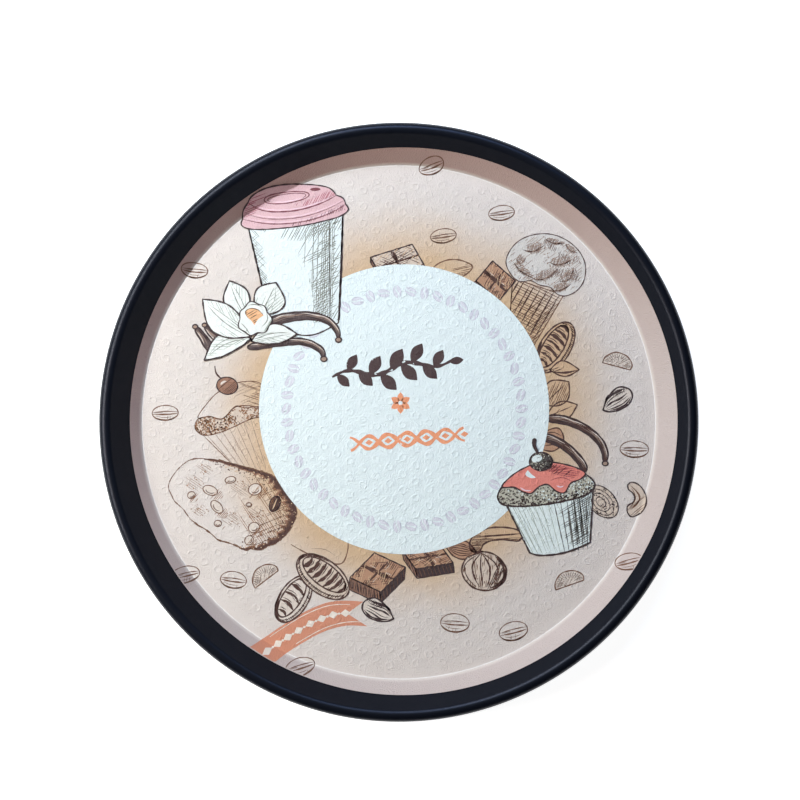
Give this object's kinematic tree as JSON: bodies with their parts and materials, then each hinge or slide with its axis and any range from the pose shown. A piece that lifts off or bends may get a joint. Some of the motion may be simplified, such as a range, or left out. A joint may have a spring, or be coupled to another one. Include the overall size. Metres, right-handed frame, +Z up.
{
  "type": "serving tray",
  "caption": "Round moulded serving tray with a flared wall, a rounded turned-down lip, a foot ring and a printed film over the floor and lower wall.",
  "frame": {"origin": "centre of the plane that the foot ring rests on", "axes": "+Z up along the tray's axis, out of the open side; +Y towards the top of the printed design; +X to its right"},
  "size_m": [0.35, 0.35, 0.025],
  "materials": {
    "body_plastic": "black injection-moulded polypropylene, satin, very fine moulded grain",
    "printed_film": "printed in-mould film, satin, fine grain with small raised anti-slip rings on the floor"
  },
  "bodies": {
    "root": {"tray_body": "body_plastic", "label_film": "printed_film"}
  },
  "joints": []
}
